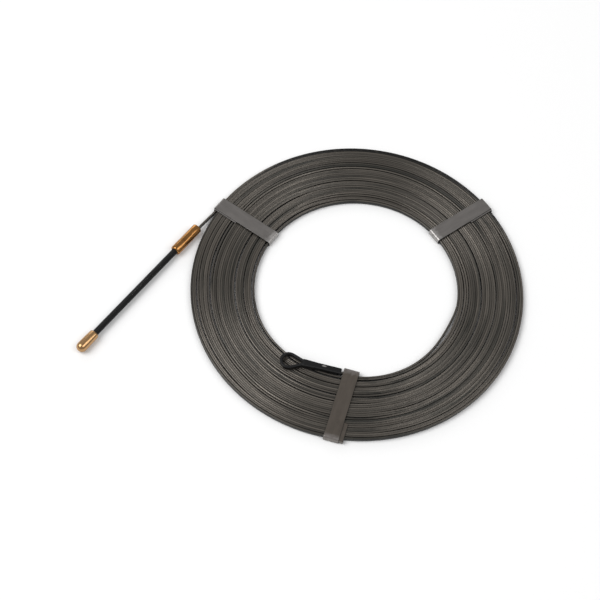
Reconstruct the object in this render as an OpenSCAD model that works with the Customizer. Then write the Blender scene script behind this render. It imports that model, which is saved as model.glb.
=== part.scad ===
// Coil of flat steel fish tape, bound by three folded sheet straps, with a sprung
// leader on its outer end and a sleeved pulling eye on its inner end.
// Lengths are millimetres and angles are degrees.
// The origin is on the coil's axis at the floor, and Z is up.

/* [Coil] */
// Diameter over the outer turn
coil_od = 252; // [240:1:310]
// Diameter inside the inner turn, to within a millimetre or so
coil_id = 152.5; // [120:0.5:164]
// Whole turns between the inner start and the outer end
turns = 23; // [12:1:23]
// Width of the tape, which stands on edge
tape_w = 3.2; // [2.6:0.1:4.2]
// Thickness of the tape
tape_t = 1.4; // [1:0.05:1.65]

/* [Straps] */
// Width of each strap
strap_w = 11.5; // [8:0.5:16]
// Thickness of the strap sheet
strap_t = 0.5; // [0.3:0.05:0.8]
// Inside radius of each fold
strap_fold = 0.5; // [0.3:0.1:0.8]
// How far the tucked end reaches in over the coil
strap_lap = 18; // [8:1:26]

/* [Leader] */
// Straight tape from the coil's tangent point to the ferrule
lead_len = 35.6; // [30:0.5:60]
// Ferrule diameter
ferrule_d = 8; // [7.2:0.1:9]
// Ferrule length
ferrule_len = 26.7; // [24:0.1:34]
// Length of tape inside the ferrule
tape_seat = 13; // [8:0.5:14]
// Depth that the spring is seated in the ferrule
spring_seat = 7; // [4:0.5:8]
// Outside diameter of the leader spring
spring_od = 4.9; // [4:0.1:5.4]
// Spring wire diameter
wire_d = 1.2; // [0.8:0.1:1.3]
// Length of spring in view
spring_len = 90.7; // [60:0.1:120]
// Tip diameter
tip_d = 8.2; // [6.6:0.1:9]
// Tip length
tip_len = 18; // [15:0.5:26]

/* [Eye] */
// Distance from the front strap to where the legs part
eye_shank = 31.5; // [24:0.5:38]
// Distance from where the legs part to the middle of the loop
eye_reach = 11.6; // [9:0.1:14]
// Radius of the loop along the middle of the tape
eye_r = 5.6; // [4.4:0.1:6]
// Wall of the black sleeves
sleeve_wall = 0.6; // [0.4:0.1:0.8]

/* [Hidden] */
$fn = 96;
// Where the inner turn starts and where the tape leaves the coil
start_a = 350;
exit_a = 144.65;
// How far the loose inner tail springs in from the coil
tail_in = 3.2;
// Heading of the pulling eye, and rise of its shank up to the level loop
eye_yaw = 173.2;
eye_rise = 9.5;
// Strap places: angle on the coil, turn away from radial, side step of the tucked end
left_at = 148.75;
left_skew = -2.15;
left_step = 1;
right_at = 39.33;
right_skew = -1.33;
right_step = -1.2;
front_at = 265.16;
front_skew = -8.86;
front_step = 3;
// How far each strap can slide forward round the coil
left_travel = 0;
right_travel = 45;
front_travel = 50;
// How far the leader's axis lies outside the tape's line, and above the tape's middle
leader_out = 0.65;
slot_drop = 0.9;
// Clearances
strap_lift = 0.2;
strap_gap = 0.35;
lap_gap = 0.1;
seat_gap = 0.1;
sleeve_gap = 0.1;
leg_gap = 0.45;
floor_gap = 0.1;
end_gap = 0.05;
// Small details
flap_up = 0.7;
chamfer = 0.5;
sleeve_edge = 0.7;
crimp_len = 10;
crimp_deep = 0.35;
tip_seat = 6;
bare_leg = 3.9;
leg_end = 4.7;
sleeve_joint = 0.5;
sleeve_lean = 0.35;
loop_trim = 0.1;
loop_steps = 24;
wire_sides = 6;
curl_rings = 8;
wire_space = 0.45;

// A quarter of the pitch is a whole number of hundredths, so that the arcs meet exactly.
r_out = coil_od / 2;
r_last = r_out - tape_t / 2;
last_arc = 4 * turns + 1;
quarter = round(100 * ((coil_od - coil_id) / 2 - tape_t) / last_arc) / 100;
pitch = 4 * quarter;
r_first = r_last - last_arc * quarter;
r_in = r_first - tape_t / 2;
end_sweep = exit_a - start_a + 360;
tape_z = strap_t + strap_lift;
tape_mid = tape_z + tape_w / 2;
tape_top = tape_z + tape_w;
under_z = tape_top + strap_lift;
over_z = under_z + strap_t + lap_gap;

// The coil is a four-centre spiral of quarter turns, each a quarter of a pitch wider
// than the last. The last arc is centred on the axis.
function arc_centre(k) = quarter * [[0, 1], [0, 0], [1, 0], [1, 1]][k % 4];
function arc_r(k) = r_first + k * quarter;
function arc_sweep(k) = k < last_arc ? 90 : end_sweep - 90;
// Distance from the axis, along direction w, to a circle of radius r round c.
function reach(c, r, w) = c * [cos(w), sin(w)] + sqrt(r * r - pow(c * [sin(w), -cos(w)], 2));
function from_start(a) = (a - start_a) % 360 + ((a - start_a) % 360 < 0 ? 360 : 0);
function outer_arc(w) = floor(w / 90) + 4 * (w <= end_sweep ? turns : turns - 1);
function outer_r(a) =
  let (w = from_start(a), k = outer_arc(w)) reach(arc_centre(k), arc_r(k), w) + tape_t / 2;
echo(gap_between_turns = pitch - tape_t, inside_diameter = 2 * r_in);
whole_arcs_mm = PI / 4 * last_arc * (r_first + r_last - quarter);
echo(tape_in_turns_mm = whole_arcs_mm + PI / 180 * r_last * (end_sweep - 90));

module tape_section(r) {
  translate([r - tape_t / 2, 0]) square([tape_t, tape_w]);
}

module tape_coil() {
  color("dimgray")
    rotate([0, 0, start_a])
      translate([0, 0, tape_z])
        for (k = [0 : last_arc])
          translate(arc_centre(k))
            rotate([0, 0, 90 * (k % 4)])
              rotate_extrude(angle = arc_sweep(k)) tape_section(arc_r(k));
}

// The leader lies along the tangent where the tape leaves the coil, a little outside it.
leader_z = max(tip_d, ferrule_d) / 2 + floor_gap;
spring_at = lead_len + ferrule_len - spring_seat;
tip_at = lead_len + ferrule_len + spring_len;

module along_leader(s, z) {
  rotate([0, 0, exit_a])
    translate([r_last, 0, z])
      rotate([0, 0, 90])
        translate([s, 0, 0]) children();
}

module on_leader(s) {
  along_leader(s, leader_z)
    translate([0, -leader_out, 0]) children();
}

module tape_lead() {
  rise = leader_z - slot_drop - tape_mid;
  climb_from = lead_len / 2;
  climb_to = lead_len - 2;
  low = tape_z;
  high = tape_z + rise;
  color("dimgray")
    along_leader(0, 0)
      translate([0, tape_t / 2, 0])
        rotate([90, 0, 0])
          linear_extrude(height = tape_t)
            polygon([[end_gap, low], [climb_from, low], [climb_to, high], [lead_len + tape_seat, high],
                     [lead_len + tape_seat, high + tape_w], [climb_to, high + tape_w],
                     [climb_from, low + tape_w], [end_gap, low + tape_w]]);
}

module turned(points) {
  rotate([0, 90, 0])
    rotate_extrude() polygon(points);
}

module ferrule() {
  r = ferrule_d / 2;
  bore = spring_od / 2 + seat_gap;
  slot_t = tape_t + 2 * seat_gap;
  slot_w = tape_w + 2 * seat_gap;
  color("peru")
    on_leader(lead_len)
      difference() {
        turned([[0, 0], [r - chamfer, 0], [r, chamfer], [r, ferrule_len - chamfer],
                [r - chamfer, ferrule_len], [0, ferrule_len]]);
        translate([ferrule_len - spring_seat, 0, 0])
          rotate([0, 90, 0]) cylinder(r = bore, h = spring_seat + 1);
        translate([-1, leader_out - slot_t / 2, -slot_drop - slot_w / 2])
          cube([tape_seat + 1 + seat_gap, slot_t, slot_w]);
        for (side = [0, 1])
          mirror([0, 0, side])
            translate([chamfer * 3, -r, r - crimp_deep]) cube([crimp_len, 2 * r, r]);
      }
}

module tip() {
  r = tip_d / 2;
  bore = spring_od / 2 + seat_gap;
  color("goldenrod")
    on_leader(tip_at)
      difference() {
        union() {
          turned([[0, 0], [r - chamfer, 0], [r, chamfer], [r, tip_len - r], [0, tip_len - r]]);
          rotate([0, 90, 0])
            rotate_extrude()
              translate([0, tip_len - r])
                intersection() {
                  circle(r);
                  square(r);
                }
        }
        translate([-1, 0, 0])
          rotate([0, 90, 0]) cylinder(r = bore, h = tip_seat + 1);
      }
}

// One round wire, straight for a wire's width at each end and wound between.
coil_r = (spring_od - wire_d) / 2;
spring_all = spring_seat + spring_len + tip_seat;
wound = spring_all - 2 * wire_d;
curls = floor(wound / (wire_d + wire_space));
wire_steps = curls * curl_rings;
function wire_angle(i) = 360 * i / curl_rings;
function wire_at(i) = wire_angle(max(0, min(wire_steps, i)));
function wire_pt(i) = i < 0 ? [0, coil_r, 0]
  : [i > wire_steps ? spring_all : wire_d + wound * i / wire_steps,
     coil_r * cos(wire_at(i)), coil_r * sin(wire_at(i))];
function wire_out(i) = [0, cos(wire_at(i)), sin(wire_at(i))];
function wire_way(i) = i < 0 || i > wire_steps ? [1, 0, 0] : unit(wire_pt(i + 1) - wire_pt(i - 1));
function unit(v) = v / norm(v);
function wire_ring(i) =
  let (way = wire_way(i), out = unit(wire_out(i) - (wire_out(i) * way) * way), side = cross(way, out))
  [for (j = [0 : wire_sides - 1])
     wire_pt(i) + wire_d / 2 * (cos(360 * j / wire_sides) * out + sin(360 * j / wire_sides) * side)];
function tube_faces(rings, n) = concat(
  [for (j = [1 : n - 2]) [0, j, j + 1]],
  [for (j = [1 : n - 2]) [(rings - 1) * n, (rings - 1) * n + j + 1, (rings - 1) * n + j]],
  [for (i = [0 : rings - 2], j = [0 : n - 1]) [i * n + j, (i + 1) * n + j, i * n + (j + 1) % n]],
  [for (i = [0 : rings - 2], j = [0 : n - 1])
     [i * n + (j + 1) % n, (i + 1) * n + j, (i + 1) * n + (j + 1) % n]]);
wire_gaps = [for (i = [0 : wire_steps - curl_rings], j = [curl_rings - 2 : curl_rings + 2])
             if (i + j <= wire_steps) norm(wire_pt(i + j) - wire_pt(i)) - wire_d];
echo(least_gap_between_curls = min(wire_gaps), curls = curls);

module leader_spring() {
  color([0.12, 0.12, 0.12])
    on_leader(spring_at)
      polyhedron(points = [for (i = [-1 : wire_steps + 1], p = wire_ring(i)) p],
                 faces = tube_faces(wire_steps + 3, wire_sides));
}

// The loose tail runs in from the first turn. The eye's shank rises straight off its end,
// and its loop lies level over the inner turns.
tail_r = r_first - tail_in;
tail_end = eye_yaw + 90;
tail_from = [tail_in, quarter];
tail_mid = [tail_from * [cos(start_a), -sin(start_a)], tail_from * [sin(start_a), cos(start_a)]];
tail_sweep = start_a - tail_end - end_gap / tail_r * 180 / PI;
shank_h = tape_w * cos(eye_rise);
loop_h = shank_h - loop_trim;
leg_y = (tape_t + leg_gap) / 2;
part_a = asin((eye_r - leg_y) / eye_reach);
part_len = (eye_reach - eye_r * sin(part_a)) / cos(part_a);
section_t = tape_t + 2 * sleeve_gap;
section_h = shank_h + 2 * sleeve_gap;

module at_tail() {
  translate([tail_mid[0], tail_mid[1], 0])
    rotate([0, 0, tail_end]) children();
}

module at_shank() {
  translate([tail_r, 0, tape_mid])
    rotate([0, 0, -90]) children();
}

module at_eye() {
  at_shank()
    rotate([0, -eye_rise, 0])
      translate([0, -leg_y, 0]) children();
}

module at_loop() {
  at_shank()
    translate([eye_shank * cos(eye_rise), -leg_y, eye_shank * sin(eye_rise)]) children();
}

// A band of the given section round the loop and back past where the legs part, as two
// mirrored halves that each start at the loop's far end.
function half_side(r) =
  [for (i = [0 : loop_steps]) r * [cos((90 + part_a) * i / loop_steps), sin((90 + part_a) * i / loop_steps)]];
function back_side(r) = let (p = half_side(r)) [for (i = [loop_steps : -1 : 0]) p[i]];
function leg_tip(r, back) =
  r * [-sin(part_a), cos(part_a)] - (part_len + back) * [cos(part_a), sin(part_a)];

module loop_band(t, h, back) {
  outer = eye_r + t / 2;
  inner = eye_r - t / 2;
  for (side = [0, 1])
    mirror([0, side, 0])
      translate([eye_reach, 0, -h / 2])
        linear_extrude(height = h)
          polygon(concat(half_side(outer), [leg_tip(outer, back), leg_tip(inner, back)], back_side(inner)));
}

module tape_eye() {
  nose = eye_shank * [cos(eye_rise), sin(eye_rise)];
  lean = tape_w / 2 * cos(eye_rise) * [-sin(eye_rise), cos(eye_rise)];
  color("dimgray")
    at_tail()
      union() {
        translate([0, 0, tape_z])
          rotate_extrude(angle = tail_sweep) tape_section(tail_r);
        at_shank()
          translate([0, tape_t / 2, 0])
            rotate([90, 0, 0])
              linear_extrude(height = tape_t)
                polygon([[0, -tape_w / 2], nose - lean, nose + lean, [0, tape_w / 2]]);
        at_eye()
          translate([leg_end, -leg_y - tape_t / 2, -loop_h / 2])
            cube([eye_shank - leg_end, tape_t, loop_h]);
        at_loop() loop_band(tape_t, loop_h, 0.3);
      }
}

module eye_loop_sleeve() {
  far = eye_reach + eye_r + tape_t + 5;
  color([0.1, 0.1, 0.1])
    at_tail() at_loop()
      intersection() {
        difference() {
          loop_band(section_t + 2 * sleeve_wall, section_h + 2 * sleeve_wall, 4);
          loop_band(section_t, section_h, 5);
        }
        translate([sleeve_lean, -20, -20]) cube([far, 40, 40]);
      }
}

module eye_shank_sleeve() {
  run = eye_shank - sleeve_joint - bare_leg;
  in_t = 2 * tape_t + leg_gap + 2 * sleeve_gap;
  out_t = in_t + 2 * sleeve_wall;
  out_h = section_h + 2 * sleeve_wall;
  color([0.14, 0.14, 0.14])
    at_tail() at_eye()
      translate([bare_leg, 0, 0])
        rotate([90, 0, 90])
          linear_extrude(height = run)
            difference() {
              polygon([for (c = [[-1, -1], [1, -1], [1, 1], [-1, 1]], k = [0, 1])
                         [c[0] * (out_t / 2 - (c[0] * c[1] > 0 ? k : 1 - k) * sleeve_edge),
                          c[1] * (out_h / 2 - (c[0] * c[1] > 0 ? 1 - k : k) * sleeve_edge)]]);
              square([in_t, section_h], center = true);
            }
}

// Straps: each is one strip, from its tucked end over the outer turn, under the coil,
// up inside it and back over the top to a flap on the outside.
r_mid = (r_in + r_out) / 2;
function tail_inner(a) = reach(tail_from, tail_r, a - start_a) - tape_t / 2;
function strap_mid(skew) = -r_mid * sin(skew);
function far_v(skew, step) = abs(strap_mid(skew)) + strap_w / 2 + max(0, step * sign(strap_mid(skew)));
function near_v(skew) = max(0, abs(strap_mid(skew)) - strap_w / 2);
function across(r, v) = sqrt(r * r - v * v);
function neat(x) = round(x * 100) / 100;
fold_out = strap_fold + strap_t;

module fold(u, z, su, sz) {
  translate([u, z])
    intersection() {
      difference() {
        circle(fold_out);
        circle(strap_fold);
      }
      translate([su < 0 ? -fold_out : 0, sz < 0 ? -fold_out : 0]) square(fold_out);
    }
}

module bar(u0, u1, z0, z1) {
  translate([u0, z0]) square([u1 - u0, z1 - z0]);
}

module strap_run(v) {
  translate([0, v + strap_w / 2, 0])
    rotate([90, 0, 0])
      linear_extrude(height = strap_w) children();
}

module strap(at, skew, step, in_face, out_face) {
  v = neat(strap_mid(skew));
  inside = neat(in_face);
  outside = neat(out_face);
  over_out = outside + 2 * strap_t + lap_gap;
  u_in = inside - strap_t + fold_out;
  u_under = outside + strap_t - fold_out;
  u_over = over_out - fold_out;
  z_under = under_z + strap_t - fold_out;
  z_over = over_z + strap_t - fold_out;
  rotate([0, 0, at + skew])
    union() {
      strap_run(v + step) {
        bar(outside - strap_lap, u_under, under_z, under_z + strap_t);
        fold(u_under, z_under, 1, 1);
        bar(outside, outside + strap_t, fold_out, z_under);
        fold(u_under, fold_out, 1, -1);
      }
      linear_extrude(height = strap_t)
        polygon([[u_under, v + step - strap_w / 2], [u_under, v + step + strap_w / 2],
                 [u_in, v + strap_w / 2], [u_in, v - strap_w / 2]]);
      strap_run(v) {
        fold(u_in, fold_out, -1, -1);
        bar(inside - strap_t, inside, fold_out, z_over);
        fold(u_in, z_over, -1, 1);
        bar(u_in, u_over, over_z, over_z + strap_t);
        fold(u_over, z_over, 1, 1);
        bar(over_out - strap_t, over_out, flap_up, z_over);
      }
    }
}

// The left strap also holds in the start of the straight lead.
lead_turn = left_at + left_skew - exit_a;
left_reach = strap_mid(left_skew) + strap_w / 2 + max(0, left_step);

module strap_left() {
  color("gray")
    strap(left_at, left_skew, left_step,
          across(r_in, far_v(left_skew, left_step)) - strap_gap,
          max(r_out, (r_out + left_reach * sin(lead_turn)) / cos(lead_turn)) + strap_gap);
}

module strap_right() {
  edge = atan(strap_w / r_out);
  color("gray")
    strap(right_at, right_skew, right_step,
          across(r_in, far_v(right_skew, right_step)) - strap_gap,
          across(outer_r(right_at + right_travel + edge), near_v(right_skew)) + strap_gap);
}

module strap_front() {
  v = far_v(front_skew, front_step);
  edge_a = front_at + front_skew + asin(v / r_in);
  turn_a = front_at + front_travel + atan(strap_w / r_out);
  color([0.42, 0.38, 0.36])
    strap(front_at, front_skew, front_step,
          across(tail_inner(edge_a), v) - strap_gap,
          across(outer_r(turn_a), near_v(front_skew)) + strap_gap);
}

tape_coil();
tape_lead();
tape_eye();
eye_loop_sleeve();
eye_shank_sleeve();
ferrule();
leader_spring();
tip();
strap_left();
strap_right();
strap_front();
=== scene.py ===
# %% [markdown]
# # A coil of fish tape with its pulling eye and sprung leader
#
# Fish tape is flat spring steel that an electrician pushes through a conduit to pull
# wires back. This one is sold as a bare coil: three folded sheet straps hold the turns,
# the inner end is bent into a sleeved pulling eye, and the outer end carries a brass
# ferrule, a black spring and a brass bullet tip.
#
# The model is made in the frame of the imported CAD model, in metres. The sizes of pieces are
# written in millimetres and scaled once, when a mesh is made.

# %% Load the frame
import bpy
import numpy as np
from mathutils import Matrix


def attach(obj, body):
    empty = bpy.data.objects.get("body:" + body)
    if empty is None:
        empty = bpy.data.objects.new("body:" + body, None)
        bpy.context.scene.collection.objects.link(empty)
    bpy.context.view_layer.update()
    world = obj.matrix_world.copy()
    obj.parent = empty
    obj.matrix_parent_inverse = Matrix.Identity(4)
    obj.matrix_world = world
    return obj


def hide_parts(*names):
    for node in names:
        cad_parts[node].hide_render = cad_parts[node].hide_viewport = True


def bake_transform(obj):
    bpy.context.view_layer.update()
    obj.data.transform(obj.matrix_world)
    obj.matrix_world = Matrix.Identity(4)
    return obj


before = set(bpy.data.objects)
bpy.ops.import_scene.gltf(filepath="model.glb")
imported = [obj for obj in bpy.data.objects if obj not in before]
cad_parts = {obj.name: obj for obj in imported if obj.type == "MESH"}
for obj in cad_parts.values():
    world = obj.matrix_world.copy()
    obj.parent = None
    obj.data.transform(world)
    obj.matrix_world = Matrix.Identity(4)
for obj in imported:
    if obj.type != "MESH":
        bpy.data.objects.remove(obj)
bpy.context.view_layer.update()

MM = 0.001
scene = bpy.context.scene

# %% [markdown]
# ## The camera
#
# A camera could be placed by eye, but a photograph's view can be worked out: the coil is
# a circle on the floor, so its ellipse gives the tilt, and the leader and straps give
# the roll and the scale. The view is then one look direction, a distance and a lens.

# %% Camera
AIM = np.array([-41.96, -13.28, 2.3])
DISTANCE = 1150.0
TILT, ROLL = np.radians([60.93, 3.15])
FOCAL_PX, FRAME_PX, SENSOR = 1537.0, 600, 36.0

look = np.array([0.0, np.cos(TILT), -np.sin(TILT)])
level = np.array([1.0, 0.0, 0.0])
upright = np.cross(level, look)
cam_x = level * np.cos(ROLL) + upright * np.sin(ROLL)
cam_y = upright * np.cos(ROLL) - level * np.sin(ROLL)

camera = bpy.data.objects.new("camera", bpy.data.cameras.new("camera"))
scene.collection.objects.link(camera)
camera.data.sensor_width = SENSOR
camera.data.lens = SENSOR * FOCAL_PX / FRAME_PX
stand = np.eye(4)
stand[:3, :3] = np.stack([cam_x, cam_y, -look], 1)
stand[:3, 3] = MM * (AIM - DISTANCE * look)
camera.matrix_world = Matrix(stand.tolist())
scene.camera = camera
print("camera lens", round(camera.data.lens, 1))

# %% [markdown]
# ## From rings to a mesh
#
# Every piece here is long and has a section: a tape, a sheet strip, a wire, a turned
# fitting. So one way of making is enough: a stack of rings, each a closed row of points,
# is joined ring to ring with quads and shut at the ends. A UV map goes with it, with U the
# length along the piece in metres and V once round the section, so that a finish can
# follow the piece wherever it bends.

# %% Helpers that join rings
def join_rings(n, m, loop):
    """Quads from each of n rings of m points to the next, and fans that shut the ends.

    Point j of ring i has the number i * m + j. A loop also joins the last ring to the
    first and has no fans. Otherwise the fans meet at two more points, one for each end.
    """
    i, j = np.divmod(np.arange((n if loop else n - 1) * m), m)
    i2, j2 = (i + 1) % n, (j + 1) % m
    quads = np.stack([i * m + j, i2 * m + j, i2 * m + j2, i * m + j2], 1)
    if loop:
        return quads, np.zeros((0, 3), int)
    k = np.arange(m)
    k2, last = (k + 1) % m, (n - 1) * m
    first_fan = np.stack([k, k2, np.full(m, n * m)], 1)
    last_fan = np.stack([last + k2, last + k, np.full(m, n * m + 1)], 1)
    return quads, np.concatenate([first_fan, last_fan])


def lay_out(along, quads, fans, m):
    """UV for the corners of each face: U is along the piece, and V is the share round it."""
    i, j = np.divmod(quads[:, 0], m)
    u, u2, v, v2 = along[i], along[i + 1], j / m, (j + 1) / m
    on_quads = np.stack([u, v, u2, v, u2, v2, u, v2], 1).reshape(-1, 4, 2)
    i, j = np.divmod(fans[:, 0], m)
    on_fans = np.stack([along[i], (j + 1) % m / m] * 3, 1).reshape(-1, 3, 2)
    return on_quads, on_fans


print("faces of a three-ring prism", [len(f) for f in join_rings(3, 4, False)])

# %% Helpers that skin rings
def run(line):
    """The distance along a line to each of its points: the sum of the steps before it."""
    return np.r_[0.0, np.cumsum(np.linalg.norm(np.diff(line, axis=0), axis=1))]


def skin(name, rings, material, loop=False, sharp=40.0, marked=None):
    """A closed surface through rings[i, j], given in millimetres.

    If the volume, the sum of a . (b x c) / 6 over the triangles, is negative, all faces are
    turned round. marked holds named values for the points, which a finish can read.
    """
    rings = np.asarray(rings, float)
    n, m = rings.shape[:2]
    mid = rings.mean(1)
    ends = mid[[0, -1]][:0 if loop else 2]
    points = np.concatenate([rings.reshape(-1, 3), ends])
    quads, fans = join_rings(n, m, loop)
    lay_q, lay_f = lay_out(MM * run(mid[np.r_[:n, 0]]), quads, fans, m)
    tri = points[np.concatenate([quads[:, :3], quads[:, [0, 2, 3]], fans])]
    if np.einsum("ij,ij", tri[:, 0], np.cross(tri[:, 1], tri[:, 2])) < 0:
        quads, fans, lay_q, lay_f = [f[:, ::-1] for f in (quads, fans, lay_q, lay_f)]
    mesh = bpy.data.meshes.new(name)
    mesh.from_pydata((MM * points).tolist(), [], quads.tolist() + fans.tolist())
    lay = np.concatenate([lay_q.reshape(-1, 2), lay_f.reshape(-1, 2)])
    mesh.uv_layers.new(name="lay").data.foreach_set("uv", lay.ravel())
    mesh.polygons.foreach_set("use_smooth", np.ones(len(mesh.polygons), bool))
    mesh.set_sharp_from_angle(angle=np.radians(sharp))
    mesh.materials.append(material)
    for label, value in (marked or {}).items():
        value = np.r_[np.broadcast_to(value, (n, m)).ravel(), np.zeros(len(ends))]
        mesh.attributes.new(label, "FLOAT", "POINT").data.foreach_set("value", value)
    piece = bpy.data.objects.new(name, mesh)
    scene.collection.objects.link(piece)
    print(name, len(quads) * 2 + len(fans), "triangles")
    return piece


print("run of a square's two sides", run(np.array([[0, 0], [1, 0], [1, 1]])))

# %% [markdown]
# ## Finishes
#
# The finishes share three effects. Drawn metal has fine marks that run along it, handled
# metal has a mottled film of oil and oxide, and in places the surface differs: the tape's
# flats and parts of its outer turns are painted dark as shade, the straps' folds are
# lighter, partly from wear and partly as a painted highlight, and one spot on the eye's
# sleeve is pale. Each effect is a node group with named inputs, so every finish sets its
# own scale and amount. A flat colour would be simpler, but dark steel under soft light
# shows little else than these. Where a patch or a cut edge painted dark as shade lies is
# known when the shape is worked out, so it is left on the points as a value.

# %% Helpers for nodes
def new_group(name, inputs, output):
    """A shader node group with float or vector inputs and one output value."""
    tree = bpy.data.node_groups.new(name, "ShaderNodeTree")
    for label, value in inputs:
        kind = "NodeSocketVector" if value is None else "NodeSocketFloat"
        socket = tree.interface.new_socket(label, in_out="INPUT", socket_type=kind)
        if value is not None:
            socket.default_value = value
    tree.interface.new_socket(output, in_out="OUTPUT", socket_type="NodeSocketFloat")
    print("node group", name)
    return tree, tree.nodes.new("NodeGroupInput").outputs, tree.nodes.new("NodeGroupOutput").inputs


def node(tree, kind, settings=None, **sockets):
    """Add a node, set its properties, and set or link the sockets that are named."""
    made = tree.nodes.new(kind)
    for key, value in (settings or {}).items():
        setattr(made, key, value)
    for label, value in sockets.items():
        socket = made.inputs[int(label[1:]) if label[1:].isdigit() else label.replace("_", " ")]
        if isinstance(value, bpy.types.NodeSocket):
            tree.links.new(value, socket)
        else:
            socket.default_value = value
    return made


def math(tree, operation, *values):
    """One Math node on the given values or links."""
    return node(tree, "ShaderNodeMath", {"operation": operation},
                **{"i%d" % k: v for k, v in enumerate(values)}).outputs[0]


def spread(tree, value, low, high, to_low, to_high):
    """Map low..high onto to_low..to_high, held at the ends."""
    return node(tree, "ShaderNodeMapRange", None, Value=value, From_Min=low, From_Max=high,
                To_Min=to_low, To_Max=to_high).outputs["Result"]


print("nodes of Blender", bpy.app.version_string)

# %% Node group: drawn marks
MARKS_LOW, MARKS_HIGH = 0.3, 0.7
marks, inside, out = new_group(
    "drawn marks", [("Place", None), ("Length", 40.0), ("Lines", 60.0)], "Marks")
parts = node(marks, "ShaderNodeSeparateXYZ", None, i0=inside["Place"]).outputs
stretched = node(marks, "ShaderNodeCombineXYZ", None,
                 X=math(marks, "MULTIPLY", parts["X"], inside["Length"]),
                 Y=math(marks, "MULTIPLY", parts["Y"], inside["Lines"]),
                 Z=math(marks, "MULTIPLY", parts["Z"], inside["Lines"])).outputs[0]
grain = node(marks, "ShaderNodeTexNoise", None, Vector=stretched, Scale=1.0, Detail=4.0,
             Roughness=0.62).outputs[0]
marks.links.new(spread(marks, grain, MARKS_LOW, MARKS_HIGH, 0.0, 1.0), out["Marks"])

# %% Node group: mottled film
FILM_FROM, FILM_BY_COVER, FILM_EDGE = 0.82, 0.5, 0.22
film, inside, out = new_group(
    "mottled film", [("Place", None), ("Scale", 60.0), ("Cover", 0.5)], "Film")
cloud = node(film, "ShaderNodeTexNoise", None, Vector=inside["Place"], Scale=inside["Scale"],
             Detail=5.0, Roughness=0.6).outputs[0]
lowered = math(film, "MULTIPLY", inside["Cover"], FILM_BY_COVER)
edge_low = math(film, "SUBTRACT", FILM_FROM, lowered)
edge_high = math(film, "ADD", edge_low, FILM_EDGE)
film.links.new(spread(film, cloud, edge_low, edge_high, 0.0, 1.0), out["Film"])

# %% Node group: broken patch
NIBBLE, PATCH_LOW, PATCH_HIGH = 0.7, 0.35, 0.75
patchy, inside, out = new_group(
    "broken patch", [("Patch", 0.0), ("Place", None), ("Scale", 400.0)], "Shown")
cloud = node(patchy, "ShaderNodeTexNoise", None, Vector=inside["Place"],
             Scale=inside["Scale"], Detail=3.0).outputs[0]
nibbled = math(patchy, "MULTIPLY", math(patchy, "SUBTRACT", cloud, 0.5), NIBBLE)
broken = math(patchy, "ADD", inside["Patch"], nibbled)
patchy.links.new(spread(patchy, broken, PATCH_LOW, PATCH_HIGH, 0.0, 1.0), out["Shown"])

# %% Helpers for finishes
STREAK_ROUGH, STREAK_DEPTH = -0.06, 0.00008


def from_points(tree, label):
    """The outputs of an Attribute node, which reads a value left on the points."""
    return node(tree, "ShaderNodeAttribute", {"attribute_name": label}).outputs


def mix(tree, share, first, second, way="MIX"):
    """Two colours mixed, or multiplied, by a share."""
    settings = {"data_type": "RGBA", "blend_type": way}
    return node(tree, "ShaderNodeMix", settings, i0=share, i6=first, i7=second).outputs[2]


def effect(tree, group, **inputs):
    """One of the node groups above, with its inputs set or linked."""
    return node(tree, "ShaderNodeGroup", {"node_tree": group}, **inputs).outputs[0]


print("streak depth mm", STREAK_DEPTH / MM)

# %% Finish
def finish(name, metallic, colours, rough, lines, mottle, bump, specular=0.5, drawn=0.0):
    """A finish from its colours and the three effects.

    colours are the ground and the film and, for some, the patches and the cut edges, which
    show where the points' values patch and cut are high. The patches are painted shade on
    the tape, lighter folds on the straps, partly wear and partly a painted highlight, and a
    pale spot on a sleeve; the cut edges are painted shade. rough is the roughness on the
    ground and under the film, lines is (length, lines, share), and mottle is (place, scale,
    cover). drawn is how much more a highlight spreads across the length than along it, and
    below zero how much less, as on a turned piece.
    """
    material = bpy.data.materials.new(name)
    material.use_nodes = True
    tree = material.node_tree
    shader = tree.nodes["Principled BSDF"].inputs
    shader["Metallic"].default_value = metallic
    shader["Specular IOR Level"].default_value = specular
    spot = node(tree, "ShaderNodeTexCoord").outputs
    place = from_points(tree, "tone")["Vector"] if mottle[0] == "tone" else spot[mottle[0]]
    streak = effect(tree, marks, Place=spot["UV"], Length=lines[0], Lines=lines[1])
    stain = effect(tree, film, Place=place, Scale=mottle[1], Cover=mottle[2])
    grey = node(tree, "ShaderNodeCombineColor", None, i0=streak, i1=streak, i2=streak).outputs[0]
    ground, filmed, *patch = [tuple(c) + (1.0,) for c in colours]
    colour = mix(tree, lines[2], mix(tree, stain, ground, filmed), grey, "MULTIPLY")
    # Patch colour: painted shade on the tape, wear and painted highlight on strap folds, a pale
    # spot on a sleeve.
    if patch:
        shown = effect(tree, patchy, Patch=from_points(tree, "patch")["Fac"], Place=spot["Object"])
        colour = mix(tree, shown, colour, patch[0])
    # Cut colour: painted shade on the straps' cut edges.
    if len(patch) > 1:
        colour = mix(tree, from_points(tree, "cut")["Fac"], colour, patch[1])
    if drawn:
        shader["Anisotropic"].default_value = abs(drawn)
        shader["Anisotropic Rotation"].default_value = 0.25 if drawn > 0 else 0.0
        along = node(tree, "ShaderNodeTangent", {"direction_type": "UV_MAP", "uv_map": "lay"})
        tree.links.new(along.outputs[0], shader["Tangent"])
    under = spread(tree, stain, 0.0, 1.0, rough[0], rough[1])
    worked = math(tree, "ADD", under, math(tree, "MULTIPLY", streak, STREAK_ROUGH))
    relief = node(tree, "ShaderNodeBump", None, Height=streak, Strength=bump,
                  Distance=STREAK_DEPTH).outputs[0]
    for label, link in (("Base Color", colour), ("Roughness", worked), ("Normal", relief)):
        tree.links.new(link, shader[label])
    print("finish", name)
    return material
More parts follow.
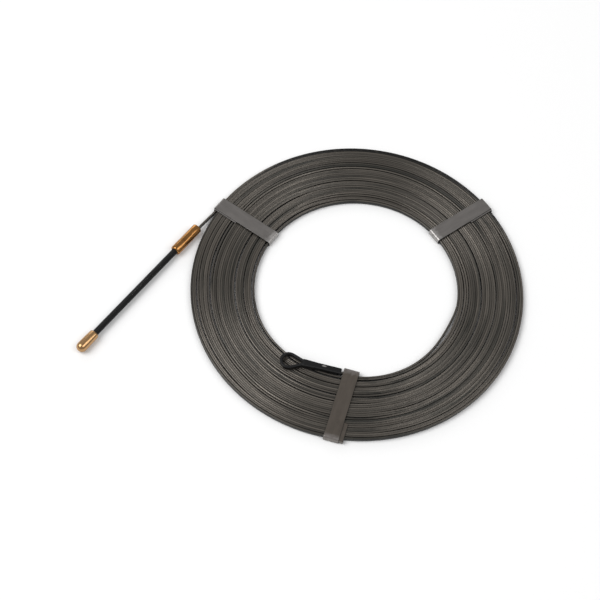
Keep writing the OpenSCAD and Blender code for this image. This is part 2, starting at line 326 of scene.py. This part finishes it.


# %% The steels
# The tape's third colour is painted shade: it darkens the tape's side faces and stretches of its
# outer turns.
tape_steel = finish(
    "tape_steel", metallic=0.65, rough=(0.29, 0.44), lines=(5.0, 1.2, 0.7),
    mottle=("tone", 1.3, 0.75), bump=0.1, specular=0.6, drawn=0.8,
    colours=[(0.204, 0.182, 0.157), (0.066, 0.064, 0.056), (0.018, 0.018, 0.017)])
# The straps' third colour lightens the folds, partly for wear and partly as a painted highlight;
# the fourth is painted shade on the cut edges.
CUT_EDGE_SHADE = (0.02, 0.019, 0.018)
sheet = dict(metallic=0.5, rough=(0.26, 0.36), lines=(60.0, 9.0, 0.25), bump=0.1)
strap_steel = finish(
    "strap_steel", mottle=("Object", 60.0, 0.5), **sheet,
    colours=[(0.2, 0.187, 0.178), (0.15, 0.14, 0.132), (0.36, 0.345, 0.335), CUT_EDGE_SHADE])
strap_brown = finish(
    "strap_brown", mottle=("Object", 60.0, 0.55), **sheet,
    colours=[(0.118, 0.1, 0.084), (0.074, 0.06, 0.049), (0.21, 0.192, 0.182), CUT_EDGE_SHADE])

# %% The brasses
ferrule_brass = finish(
    "ferrule_brass", metallic=0.92, rough=(0.18, 0.3), lines=(30.0, 6.0, 0.35),
    mottle=("Object", 150.0, 0.5), bump=0.02, drawn=-0.6,
    colours=[(0.46, 0.22, 0.07), (0.27, 0.11, 0.033)])
tip_brass = finish(
    "tip_brass", metallic=0.92, rough=(0.22, 0.3), lines=(30.0, 6.0, 0.3),
    mottle=("Object", 150.0, 0.4), bump=0.02, drawn=-0.7,
    colours=[(0.56, 0.335, 0.16), (0.4, 0.215, 0.088)])

# %% The blacks
spring_black = finish(
    "spring_black", metallic=0.0, rough=(0.5, 0.65), lines=(200.0, 4.0, 0.3),
    mottle=("Object", 200.0, 0.5), bump=0.05, specular=0.3,
    colours=[(0.006, 0.006, 0.0062), (0.004, 0.004, 0.004)])
# The sleeve's third colour is a pale spot on the shank's sleeve.
sleeve_black = finish(
    "sleeve_black", metallic=0.0, rough=(0.42, 0.52), lines=(120.0, 6.0, 0.3),
    mottle=("Object", 200.0, 0.5), bump=0.08, specular=0.3,
    colours=[(0.005, 0.005, 0.0055), (0.003, 0.003, 0.003), (0.22, 0.21, 0.205)])

# %% [markdown]
# ## The turns
#
# The tape stands on edge and each turn rests against the last. A plain spiral would look
# like a machined disc. A hand-wound coil has tight turns and a few slack places, where a
# dark gap opens for part of a turn and then moves to another turn. So the next turn's
# radius is this turn's radius, plus the tape, plus a gap that is a function of how far
# round the coil we are. Each slack track is cut into windows that follow each other round
# the circle, each at its own turn. The innermost turn is bent in and out a little, as it is
# on the real coil, and at each angle the gaps are scaled to fill the room that this leaves,
# so that the outer edge stays round.

# %% Slack places
TAPE_T, TAPE_W, TAPE_Z = 1.4, 3.2, 2.3
R_FIRST, R_LAST = 76.94, 125.3
START, EXIT = 365.0, 144.65
TURNS, STEPS = 30, 180
WIDE_CUTS, WIDE_LAYERS, WIDE_GAP = [0.07, 0.486, 0.62, 0.764], [19, 26, 11, 26], 1.6
FINE_TRACKS, FINE_CUTS, FINE_LEAST, FINE_MORE = 17, 4, 0.3, 1.3
t_end = TURNS + (EXIT - START) % 360 / 360
rng = np.random.default_rng(11)


def ease(x):
    """0 below 0, 1 above 1, and 3x^2 - 2x^3 between."""
    x = np.clip(x, 0.0, 1.0)
    return x * x * (3.0 - 2.0 * x)


def slack_track(t, cuts, layers, soft=0.05):
    """Sum over windows of ease(rising edge) - ease(falling edge), each at its own turn."""
    cuts = np.asarray(cuts)
    begin = np.asarray(layers) + cuts
    close = np.asarray(layers) + np.r_[cuts[1:], cuts[0] + 1]
    x = t[..., None]
    return (ease((x - begin) / soft + 0.5) - ease((x - close) / soft + 0.5)).sum(-1)


layer, part = np.meshgrid(np.arange(TURNS + 1), np.arange(STEPS) / STEPS, indexing="ij")
t_all = layer + part
tracks = [slack_track(t_all, WIDE_CUTS, WIDE_LAYERS)]
for home in np.linspace(0, TURNS - 3, FINE_TRACKS):
    cuts = (np.arange(FINE_CUTS) + rng.uniform(0.1, 0.9, FINE_CUTS)) / FINE_CUTS
    layers = np.clip(int(home) + rng.integers(-2, 3, FINE_CUTS), 0, TURNS - 2)
    tracks.append(slack_track(t_all, np.sort(cuts), layers))
gaps = np.r_[WIDE_GAP, FINE_LEAST + FINE_MORE * rng.uniform(0, 1, FINE_TRACKS) ** 2]
slack = np.tensordot(gaps, np.array(tracks), 1)
print("slack tracks", len(tracks), "widest mm", gaps.max())

# %% Radius of each turn
PITCH = TAPE_T + 0.01
BENT_A = np.array([5, 60, 100, 112, 140, 170, 210, 230, 246, 264, 276, 295, 315, 345, 365])
BENT_R = np.array([0, 0, -0.6, -0.75, -0.95, -0.5, 0.5, -0.2, -1.1, -1.2, -0.5, 0.3, 0.2, 0, 0])
SOFTEN = 9
bent = np.interp(part[0] * 360 + START - 360, BENT_A, BENT_R)
bent = np.convolve(np.pad(bent, SOFTEN // 2, mode="wrap"), np.full(SOFTEN, 1 / SOFTEN), "valid")
spiral = R_FIRST + part[0] * PITCH
end_col = int(round((t_end - TURNS) * STEPS))
room = R_LAST - spiral[end_col] - TURNS * PITCH
slack *= (room - bent) / slack[:TURNS].sum(0)
slack_so_far = np.vstack([0.0 * bent, np.cumsum(slack[:-1], 0)])
radius = spiral + bent + layer * PITCH + slack_so_far
print("slack mm", round(room, 2), "outer radius", radius[TURNS, end_col].round(2))

# %% [markdown]
# ## The inner end and its eye
#
# Inside the first turn the tape's tail springs inwards, touches the coil again and then
# runs to the front strap. There its shank climbs at a shallow angle onto the inner turns,
# goes round a small level loop and comes back beside itself. All of it is the same strip of
# steel, so it is one path: the eye's outline, then the tail as a radius for each angle,
# then the turns, then the first straight millimetres of the lead under the left strap.

# %% Path of the eye
UP = np.array([0.0, 0.0, 1.0])
EYE_FROM = np.array([-5.489, -73.265, TAPE_Z])
YAW, RISE = np.radians([173.2, 9.5])
LEG, SHANK, LOOP_AT, LOOP_R, LEG_END = 0.925, 31.5, 43.1, 5.6, 4.7
eye_x = np.array([np.cos(YAW), np.sin(YAW), 0.0])
eye_y = np.array([-np.sin(YAW), np.cos(YAW), 0.0])


def in_eye(x, y):
    """The eye's corner, plus x along it, up the shank and level beyond, plus y across."""
    up_shank = np.multiply.outer(np.minimum(x, SHANK), np.cos(RISE) * eye_x + np.sin(RISE) * UP)
    beyond = np.multiply.outer(np.maximum(np.subtract(x, SHANK), 0.0), eye_x)
    return EYE_FROM + up_shank + beyond + np.multiply.outer(np.subtract(y, LEG), eye_y)


parting = np.arcsin((LOOP_R - LEG) / (LOOP_AT - SHANK))
bend = np.linspace(-np.pi / 2 - parting, np.pi / 2 + parting, 41)
loop_line = in_eye(LOOP_AT + LOOP_R * np.cos(bend), LOOP_R * np.sin(bend))
legs = in_eye(np.array([LEG_END, SHANK, SHANK, 0.0]), np.array([-LEG, -LEG, LEG, LEG]))
eye_line = np.concatenate([legs[:2], loop_line, legs[2:]])
print("loop centre", in_eye(LOOP_AT, 0.0).round(2))

# %% Path of the tail
TAIL_A = np.array([265.7, 269, 273.5, 280, 290, 300, 306, 312, 318,
                   324, 330, 336, 340, 344, 348, 351, 354, 362])
TAIL_R = np.array([73.47, 74.5, 75.8, 76.2, 76.6, 76.65, 76.5, 76.2, 75.8,
                   75.35, 75.0, 74.95, 75.2, 75.65, 76.2, 76.55, 76.75, 76.87])


def polar(r, degrees, z):
    """The point at radius r and angle degrees about the coil's axis, at height z."""
    a = np.radians(degrees)
    return np.stack(np.broadcast_arrays(r * np.cos(a), r * np.sin(a), z), -1)


def along_line(line, at):
    """The points of a line at the distances at along it, straight between its own points."""
    far = run(line)
    return np.stack([np.interp(at, far, c) for c in line.T], 1)


def even(line, step):
    """The line's points again, a step apart along it, then softened by weighted means of five."""
    far = run(line)[-1]
    line = along_line(line, np.linspace(0.0, far, int(far / step)))
    calm = np.pad(line, ((3, 3), (0, 0)), mode="reflect", reflect_type="odd")
    for _ in range(2):
        calm[2:-2] = (calm[:-4] + 2 * calm[1:-3] + 3 * calm[2:-2] + 2 * calm[3:-1] + calm[4:]) / 9
    line[1:-1] = calm[4:-4]
    return line


tail_at = np.arange(267.0, START, 2.0)
tail_line = polar(np.interp(tail_at, TAIL_A, TAIL_R), tail_at, TAPE_Z)
inner = even(np.concatenate([eye_line, tail_line]), 0.8)
print("stations of the inner end", len(inner))

# %% Path of the whole tape
LEAD_UNDER = 8.0
LIFT, LEAN, KNOT, CALM = 0.13, 0.06, 0.23, 0.2
t = np.append(np.arange(0.0, t_end, 1 / STEPS), t_end)
knots = np.arange(0.0, t_end + 0.3, KNOT)
calm_ends = ease(t / CALM) * ease((t_end - t) / CALM)
lift = calm_ends * np.interp(t, knots, rng.uniform(-LIFT, LIFT, len(knots)))
lean = calm_ends * np.interp(t, knots, rng.uniform(-LEAN, LEAN, len(knots)))
turn_r = np.interp(t, t_all.ravel(), radius.ravel())
turns_line = polar(turn_r, START + 360 * t, TAPE_Z + lift)
way_out = np.array([-np.sin(np.radians(EXIT)), np.cos(np.radians(EXIT)), 0.0])
foot = polar(R_LAST, EXIT, TAPE_Z)
lead_in = foot + np.multiply.outer(np.linspace(0.0, LEAD_UNDER, 5)[1:], way_out)
tape_line = np.concatenate([inner, turns_line, lead_in])

# %% The tape's section
EDGE = 0.3


def box_outline(width, height, corner, per_corner):
    """A box with quarter-circle corners: corner centre plus corner times (cos a, sin a)."""
    a = np.radians(np.linspace(0, 90, per_corner) + 90.0 * np.arange(4)[:, None])
    x = np.array([1, -1, -1, 1])[:, None] * (width / 2 - corner) + corner * np.cos(a)
    y = np.array([1, 1, -1, -1])[:, None] * (height / 2 - corner) + corner * np.sin(a)
    return np.stack([x.ravel(), y.ravel()], 1)


section = box_outline(TAPE_T, TAPE_W, EDGE, 3)
# flat is 1 on the tape's side faces, which are painted dark as shade.
flat = ease((TAPE_W / 2 - np.abs(section[:, 1])) / EDGE)
print("tape section points", len(section))

# %% Where the tape is painted dark
# Stretches of the outer turns painted dark as shade, in turns before the tape leaves the coil.
SHADE_FROM, SHADE_TO, FADE, SHADE_DEPTH = np.array([0.02, 1.0]), np.array([0.36, 1.31]), 0.06, 0.75
left = (t_end - t)[:, None]
outer_shade = (ease((left - SHADE_FROM) / FADE) * ease((SHADE_TO - left) / FADE)).sum(1)
outer_shade = np.r_[np.zeros(len(inner)), outer_shade, np.zeros(len(lead_in))]
# The film changes from turn to turn, and a little round each turn.
tone = 0.5 * turn_r + 0.35 * np.sin(2 * np.pi * t + 1.0)
tone = np.r_[np.zeros(len(inner)), tone, np.full(len(lead_in), tone[-1])]
print("soiled stations", int((outer_shade > 0.5).sum()))

# %% The tape
def unit(v):
    """Each vector divided by its own length."""
    v = np.asarray(v, float)
    return v / np.linalg.norm(v, axis=-1, keepdims=True)


def sweep(path, outline, tall):
    """An outline carried along a path: centre + x * side + y * rise.

    Side is the path's direction crossed with tall, and rise is square to both.
    The outline is one for all stations, or one for each.
    """
    way = unit(np.gradient(path, axis=0))
    side = unit(np.cross(way, tall))
    rise = np.cross(side, way)
    outline = np.broadcast_to(outline, (len(path),) + outline.shape[-2:])
    return path[:, None] + outline[..., :1] * side[:, None] + outline[..., 1:] * rise[:, None]


tall = np.concatenate([np.tile(UP, (len(inner), 1)), UP + polar(lean, START + 360 * t, 0.0),
                       np.tile(UP, (len(lead_in), 1))])
# The patch value here is painted shade on the side faces and on stretches of the outer turns.
tape = skin("tape", sweep(tape_line, section, tall), tape_steel, sharp=60.0,
            marked={"patch": np.maximum(flat, SHADE_DEPTH * outer_shade[:, None]), "tone": tone[:, None]})
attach(tape, "coil")
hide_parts("tape_coil", "tape_eye")

# %% [markdown]
# ## The eye's sleeves
#
# Black shrink tubing covers the two legs together, and a second length covers the loop.
# A solid bar would do from far away, but the tape goes into an open end here, so each
# sleeve is a tube: its outer skin is carried one way along the path and its inner skin
# back again, and the two are joined at both ends. A little waviness is what shrinking
# leaves over the edges of the tape.

# %% Helpers for sleeves
DRAWN_IN, WAVE = 0.04, 0.02
LIGHT_SPOT_LONG, LIGHT_SPOT_ROUND = 0.07, 0.3


def soft_outline(width, height, count=48):
    """A box with soft corners: half the size times |cos a| and |sin a| to the power 0.3, signed.

    The points are taken at even steps round it.
    """
    a = np.linspace(0.0, 2 * np.pi, 721)
    swing = np.stack([np.cos(a), np.sin(a)], 1)
    fine = np.array([width, height]) / 2 * np.sign(swing) * np.abs(swing) ** 0.3
    return along_line(fine, np.linspace(0.0, run(fine)[-1], count, endpoint=False))


def sleeve(name, line, outer, inner_outline, flare=0.0, light_spot_at=None):
    """A tube: the outer outline along the line, then the inner outline back.

    The outer one is drawn in a little at both ends, widens by flare towards the last, and
    waves by sines of the place along and around it. One place, given by its share of the
    length and its angle, may be given a paler colour.
    """
    x = np.linspace(0.0, 1.0, len(line))[:, None]
    around = np.arctan2(outer[:, 1], outer[:, 0])[None, :]
    ends = 1.0 - DRAWN_IN * (1.0 - ease(np.minimum(x, 1.0 - x) * 18.0))
    ripple = np.sin(31.0 * x + 2.0 * np.sin(around)) * np.cos(around + 9.0 * x)
    waves = 1.0 - WAVE * (0.5 + 0.5 * ripple)
    wider = np.stack([1.0 + flare * ease((x - 0.5) / 0.5), np.ones_like(x)], -1)
    skin_out = sweep(line, outer * (ends * waves)[..., None] * wider, UP)
    skin_in = sweep(line, inner_outline, UP)
    lightened = np.zeros_like(waves)
    # One pale spot of lighter colour on the sleeve.
    if light_spot_at:
        along, turned = (x - light_spot_at[0]) / LIGHT_SPOT_LONG, (around - light_spot_at[1]) / LIGHT_SPOT_ROUND
        lightened = np.exp(-along ** 2 - turned ** 2)
    return skin(name, np.concatenate([skin_out, skin_in[::-1]]), sleeve_black, loop=True,
                marked={"patch": np.concatenate([lightened, 0.0 * lightened])})


print("sleeve section points", len(soft_outline(2.0, 1.0)))

# %% Sleeves
SHANK_OUT, SHANK_IN, LOOP_OUT, LOOP_IN = (4.9, 4.55), (3.4, 3.3), (2.0, 3.6), (1.5, 3.3)
SLEEVE_FROM, SLEEVE_TO, SLEEVE_SIDE, OVERLAP = 3.9, 33.0, 0.15, 2.0
shank_line = in_eye(np.linspace(SLEEVE_FROM, SLEEVE_TO, 60), np.full(60, SLEEVE_SIDE))
shank_sleeve = sleeve("eye_shank_tube", shank_line, soft_outline(*SHANK_OUT),
                      soft_outline(*SHANK_IN), flare=0.2, light_spot_at=(0.455, 1.29))
mouth = in_eye(np.full(2, SHANK - OVERLAP), np.array([-LEG, LEG]))
loop_path = even(np.concatenate([mouth[:1], legs[1:2], loop_line, legs[2:3], mouth[1:]]), 0.6)
loop_sleeve = sleeve("eye_loop_tube", loop_path, soft_outline(*LOOP_OUT), soft_outline(*LOOP_IN))
for piece, name in ((shank_sleeve, "eye_shank_sleeve"), (loop_sleeve, "eye_loop_sleeve")):
    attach(piece, "coil")
    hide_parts(name)

# %% Where the tape leaves the coil
def metres(point):
    """A point in metres, as plain numbers."""
    return tuple((MM * point).tolist())


print("cord leaves the coil at", metres(foot))

# %% [markdown]
# ## The lead and the leader
#
# The tape leaves the coil along its tangent, comes out from under the left strap and
# lifts a little to the ferrule, which it enters below the leader's axis and to the coil's
# side of it. The coil and the leader are two bodies with a bend between them, and this
# strip is one fixed mesh between them, attached to neither.

# %% The lead
LEADER_Z, LEADER_OUT, SLOT_DROP = 4.2, 0.65, 0.9
STRAP_EDGE, FERRULE_AT, SPRING_AT, TIP_AT = 15.6, 35.6, 62.3, 153.0
LIFT_FROM, LIFT_TO, IN_FERRULE = 16.0, 34.0, [38.0, 43.0, 48.4]
leader_side = np.cross(way_out, UP)


def on_tape(s, z):
    """The point s along the tape's line from the tangent point, at height z."""
    start = np.array([foot[0], foot[1], 0.0])
    return start + np.multiply.outer(s, way_out) + np.multiply.outer(z, UP)


def on_leader(s):
    """The point s along the leader's axis, which lies above the tape's line and outside it."""
    return on_tape(s, LEADER_Z) + LEADER_OUT * leader_side


s = np.r_[np.linspace(LEAD_UNDER, LIFT_TO, 27), IN_FERRULE]
lifted = ease((s - LIFT_FROM) / (LIFT_TO - LIFT_FROM))
lead_line = on_tape(s, TAPE_Z + (LEADER_Z - SLOT_DROP - TAPE_Z) * lifted)
# The lead's side faces are painted dark as shade too.
lead = skin("tape_lead_strip", sweep(lead_line, section, UP), tape_steel, sharp=60.0,
            marked={"patch": flat, "tone": tone[-1]})
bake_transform(lead)
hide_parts("tape_lead")

# %% [markdown]
# ## Ferrule and tip
#
# Both are turned from brass rod. A turned part is a row of radii along an axis, and a
# bore is the same row carried on round the rim and back inside. The ferrule has a slot for
# the tape, off its axis, and has been pressed twice, which leaves two sets of flats. So its
# radius also depends on the angle: a flat's distance divided by the cosine of the angle
# from its middle.

# %% Helpers for turned pieces
ROUND = 48
BORE_R = 2.6
spin = np.radians(np.linspace(0.0, 360.0, ROUND, endpoint=False) + 180.0 / ROUND)
circle = np.stack([np.cos(spin), np.sin(spin)], 1)


def along_leader(s, outlines):
    """Outlines[i] set square to the leader at s[i]: centre + x * side + y * up."""
    centre = on_leader(np.asarray(s, float))[:, None]
    return centre + outlines[..., :1] * leader_side + outlines[..., 1:] * UP


def pressed(r, flats, turn, amount):
    """A circle pressed towards flats, by the share amount.

    A flat's radius is r sqrt(cos(pi / flats)) / cos(angle from its middle), at most r.
    """
    half = np.pi / flats
    off = np.mod(spin + turn, 2 * half) - half
    plane = r * np.cos(half) ** 0.5 / np.cos(off)
    return (np.minimum(plane, r) * amount + r * (1 - amount))[:, None] * circle


print("turned section points", ROUND)

# %% Ferrule
FERRULE_R, FLATS, SLOT_PLAY = 4.0, 6, 0.2
slot = box_outline(TAPE_T + SLOT_PLAY, TAPE_W + SLOT_PLAY, EDGE, ROUND // 4)
slot = slot - np.array([LEADER_OUT, SLOT_DROP])
near_press = pressed(FERRULE_R, FLATS, 0.1, 0.5)
far_press = pressed(FERRULE_R, FLATS, -0.12, 0.6)
# The slot's bottom and mouth, the outside, then the rim and the bore for the spring.
rows = [
    (12.9, slot), (0.25, slot), (0.0, slot * 1.06),
    (0.0, 3.3 * circle), (0.12, 3.58 * circle), (0.45, 3.82 * circle),
    (0.9, near_press), (5.0, near_press), (8.4, near_press),
    (9.0, far_press), (13.0, far_press), (17.2, far_press),
    (17.9, 3.98 * circle), (21.0, FERRULE_R * circle), (25.3, FERRULE_R * circle),
    (25.95, 3.9 * circle), (26.45, 3.66 * circle), (26.7, 3.3 * circle),
    (26.7, 2.85 * circle), (26.4, BORE_R * circle), (19.8, BORE_R * circle)]
ferrule_s = FERRULE_AT + np.array([row[0] for row in rows])
ferrule_rings = along_leader(ferrule_s, np.array([row[1] for row in rows]))
ferrule = skin("ferrule_brass", ferrule_rings, ferrule_brass, sharp=50.0)
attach(ferrule, "leader")
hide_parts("ferrule")

# %% Tip
TIP_R = 4.1
nose = np.radians(np.linspace(0, 86, 16))
tip_s = np.r_[6.0, 0.3, 0.0, 0.0, 0.12, 0.45, 1.0, 7.0, 13.9 + TIP_R * np.sin(nose)]
tip_r = np.r_[BORE_R, BORE_R, 2.75, 3.2, 3.5, 3.7, 3.78, 3.98, TIP_R * np.cos(nose)]
tip_rings = along_leader(TIP_AT + tip_s, tip_r[:, None, None] * circle)
tip = skin("tip_brass", tip_rings, tip_brass, sharp=50.0)
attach(tip, "leader_tip")
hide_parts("tip")

# %% [markdown]
# ## The leader spring
#
# A close-wound spring lets the tip bend round corners. A bump pattern on a rod would be
# cheaper, but the outline would stay straight when the leader bends, so it is one round
# wire on a helix. The helix is a function of the angle: it goes round while it moves
# along the axis.

# %% Spring
WIRE, WIRE_GAP, SPRING_R = 0.94, 0.02, 2.03
SPRING_FROM, SPRING_TO = 55.5, 158.8
PER_CURL, PER_WIRE = 18, 8
curls = int((SPRING_TO - SPRING_FROM) / (WIRE + WIRE_GAP))
turn = np.linspace(0.0, 2 * np.pi * curls, curls * PER_CURL + 1)
drift = SPRING_FROM + (SPRING_TO - SPRING_FROM) * turn / turn[-1]
outward = np.cos(turn)[:, None] * leader_side + np.sin(turn)[:, None] * UP
wire_line = on_leader(drift) + SPRING_R * outward
swing = np.arange(PER_WIRE) * 2 * np.pi / PER_WIRE
wire_ring = WIRE / 2 * np.stack([np.cos(swing), np.sin(swing)], 1)
spring = skin("leader_spring_wire", sweep(wire_line, wire_ring, outward), spring_black, sharp=60.0)
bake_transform(spring)
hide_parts("leader_spring")
print("curls", curls)

# %% [markdown]
# ## Straps
#
# Each strap is one strip of thin sheet. It starts as a tucked end on top of the coil,
# goes over the outer edge, under the coil, up through the middle and back over the top,
# and ends as a flap down the outside. A folded box of plates would have hard corners, so
# the strip's middle line is drawn with round folds and the sheet's section is carried
# along it. The bottom run slants a little, because the tucked end lies to one side. Each
# tuck has its own length, the folds are lighter, partly from wear and partly as a painted
# highlight, and the cut edges are painted dark as shade.

# %% Helpers for the sheet
SHEET, STRAP_W = 0.5, 11.5
FOLDS = np.array([0.75, 0.75, 0.75, 1.6, 1.5])
PER_FOLD = 9
fold_at = 1 + PER_FOLD * np.arange(len(FOLDS))


def rounded(corners, radius):
    """A line through corners, with each inner corner replaced by an arc of its radius."""
    c = np.asarray(corners, float)
    a, b = unit(c[1:-1] - c[:-2]), unit(c[2:] - c[1:-1])
    swing = np.linspace(0.0, np.pi / 2, PER_FOLD)[:, None, None]
    arcs = c[1:-1] - radius * a + radius * (np.sin(swing) * a + (1 - np.cos(swing)) * b)
    return np.concatenate([c[:1], arcs.transpose(1, 0, 2).reshape(-1, 2), c[-1:]])


def sheet_outline(width, thick, count):
    """A sheet's section: two straight faces and two blunt ends, |cos|^0.6 by sin."""
    x = np.linspace(-1.0, 1.0, count) * (width - thick) / 2
    a = np.radians([60.0, 30.0, 0.0, -30.0, -60.0])
    end = np.stack([(width - thick) / 2 + thick / 2 * np.cos(a) ** 0.6, thick / 2 * np.sin(a)], 1)
    face = np.stack([x, np.full(count, thick / 2)], 1)
    half = np.concatenate([face, end])
    return np.concatenate([half, -half])


across, thick = sheet_outline(STRAP_W, SHEET, 13).T
# cut marks the sheet's cut edges, which are painted dark as shade.
cut = (np.abs(across) > (STRAP_W - SHEET) / 2).astype(float)
print("sheet section points", len(across), "on cut edges", int(cut.sum()))

# %% Helpers for straps
UNDER_Z, OVER_Z, BASE_Z, FLAP_END = 4.35, 4.95, 0.25, 0.7
LAYER_GAP, SWELL, WAVER = 0.1, 0.05, 0.008
# Lighter paint at the folds, partly for wear and partly as a painted highlight.
WEAR_AND_SHEEN, INNER_WEAR_AND_SHEEN, OUTER_WEAR_AND_SHEEN = 0.7, 6.0, 4.0


def strap_bends(tuck, inside, outside):
    """The strip's middle line, as distance from the coil's axis and height, from tuck to flap."""
    wall = outside + SHEET / 2
    inner_wall = inside - SHEET / 2
    over = outside + 1.5 * SHEET + LAYER_GAP
    return rounded([[outside - tuck, UNDER_Z], [wall, UNDER_Z], [wall, BASE_Z],
                    [inner_wall, BASE_Z], [inner_wall, OVER_Z], [over, OVER_Z],
                    [over, FLAP_END]], FOLDS[:, None])


def strap_rings(angle, mid, step, tuck, inside, outside, rubbed_and_sheen, seed):
    """The sheet's section carried along the strip's line: u and z from the line, v across.

    The strip slants by step along its bottom run. Its top and flap swell outwards by up to
    a tenth of a millimetre, as slow sines of the place along and across the strip. The
    inner top fold is painted lighter, partly for wear and partly as a highlight, and the
    outer one too, by the share given for the outer fold.
    """
    bends = strap_bends(tuck, inside, outside)
    far = run(bends)
    at = np.unique(np.round(np.r_[far, np.linspace(0.0, far[-1], 80)], 2))
    line = along_line(bends, at)
    slant = np.interp(at, far, np.where(np.arange(len(far)) < fold_at[2], step, 0.0))
    way = unit(np.gradient(line, axis=0))
    square = np.stack([-way[:, 1], way[:, 0]], 1)
    top = ease((at - far[fold_at[3]]) / 4.0) * ease((far[-1] - at) / 5.0)
    swell = SWELL * (1 + np.sin(0.19 * at[:, None] + 0.3 * across + seed)) * top[:, None]
    edge = 1.0 + WAVER * np.sin(0.27 * at + 2.0 * seed) * ease(at / 3.0)
    u = line[:, :1] + (thick + swell) * square[:, :1]
    z = line[:, 1:] + (thick + swell) * square[:, 1:]
    v = mid + slant[:, None] + across * edge[:, None]
    a = np.radians(angle)
    # The folds are painted lighter, partly for wear and partly as a painted highlight.
    inner_wear_and_sheen_at, outer_wear_and_sheen_at = far[fold_at[3:] + PER_FOLD // 3]
    lightened = np.exp(-((at - inner_wear_and_sheen_at) / INNER_WEAR_AND_SHEEN) ** 2)
    lightened = lightened + rubbed_and_sheen * np.exp(-((at - outer_wear_and_sheen_at) / OUTER_WEAR_AND_SHEEN) ** 2)
    rings = np.stack([u * np.cos(a) - v * np.sin(a), u * np.sin(a) + v * np.cos(a), z], -1)
    return rings, {"patch": WEAR_AND_SHEEN * lightened[:, None], "cut": cut}


print("points along a strap's line", len(strap_bends(18.0, 75.0, 126.0)))

# %% Straps
# Side, angle, middle, step, tuck, inside, outside, wear and painted highlight of the outer fold,
# steel.
STRAPS = [("left", 146.6, 3.79, 1.0, 20.5, 75.16, 126.78, 0.4, strap_steel),
          ("right", 38.0, 2.35, -1.2, 20.0, 75.46, 126.35, 0.4, strap_steel),
          ("front", 256.3, 15.57, 3.15, 14.2, 68.79, 125.12, 1.0, strap_brown)]
for seed, (side, *place, steel) in enumerate(STRAPS):
    rings, marked = strap_rings(*place, seed)
    strip = skin("strap_%s_strip" % side, rings, steel, sharp=50.0, marked=marked)
    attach(strip, side + "_strap")
    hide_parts("strap_" + side)

# %% [markdown]
# ## Floor and light
#
# The coil lies on a plain pale surface. On fine rings each soft box shows as a bright pair
# of sectors, along the line half way between the box and the camera. One box alone would
# leave the rest of the coil black. So a large box on the left gives most of the light, a
# smaller one on the right gives the second pair, and one low behind and a small one at the
# side fill in.

# %% Floor
bpy.ops.mesh.primitive_plane_add(size=6.0, location=(0.0, 0.0, 0.0))
floor = bpy.context.object
floor.name = "floor"
paper = bpy.data.materials.new("paper")
paper.use_nodes = True
surface = paper.node_tree.nodes["Principled BSDF"].inputs
surface["Base Color"].default_value = (0.93, 0.93, 0.93, 1.0)
surface["Roughness"].default_value = 0.9
surface["Specular IOR Level"].default_value = 0.1
floor.data.materials.append(paper)
print("floor", tuple(floor.dimensions))

# %% Lights
BOX_AWAY = 3.0


def soft_box(name, towards, size, watts):
    """A round area light at a set distance along a direction, facing the coil."""
    lamp = bpy.data.lights.new(name, "AREA")
    lamp.shape, lamp.size, lamp.energy = "DISK", size, watts
    holder = bpy.data.objects.new(name, lamp)
    scene.collection.objects.link(holder)
    z = unit(towards)
    x = unit(np.cross([0.0, 1.0, 0.0], z))
    at = np.eye(4)
    at[:3, :3] = np.stack([x, np.cross(z, x), z], 1)
    at[:3, 3] = BOX_AWAY * z
    holder.matrix_world = Matrix(at.tolist())


soft_box("left_box", [-0.58, -0.04, 0.81], 2.4, 58.0)
soft_box("right_box", [0.5, -0.23, 0.83], 1.6, 18.0)
soft_box("back_box", [-0.29, 0.89, 0.36], 1.7, 14.0)
soft_box("side_box", [0.8, -0.1, 0.59], 0.9, 5.0)
world = bpy.data.worlds.new("studio")
world.use_nodes = True
sky = world.node_tree.nodes["Background"].inputs
sky["Color"].default_value = (1.0, 1.0, 1.0, 1.0)
sky["Strength"].default_value = 0.4
scene.world = world
scene.view_settings.view_transform = "Standard"
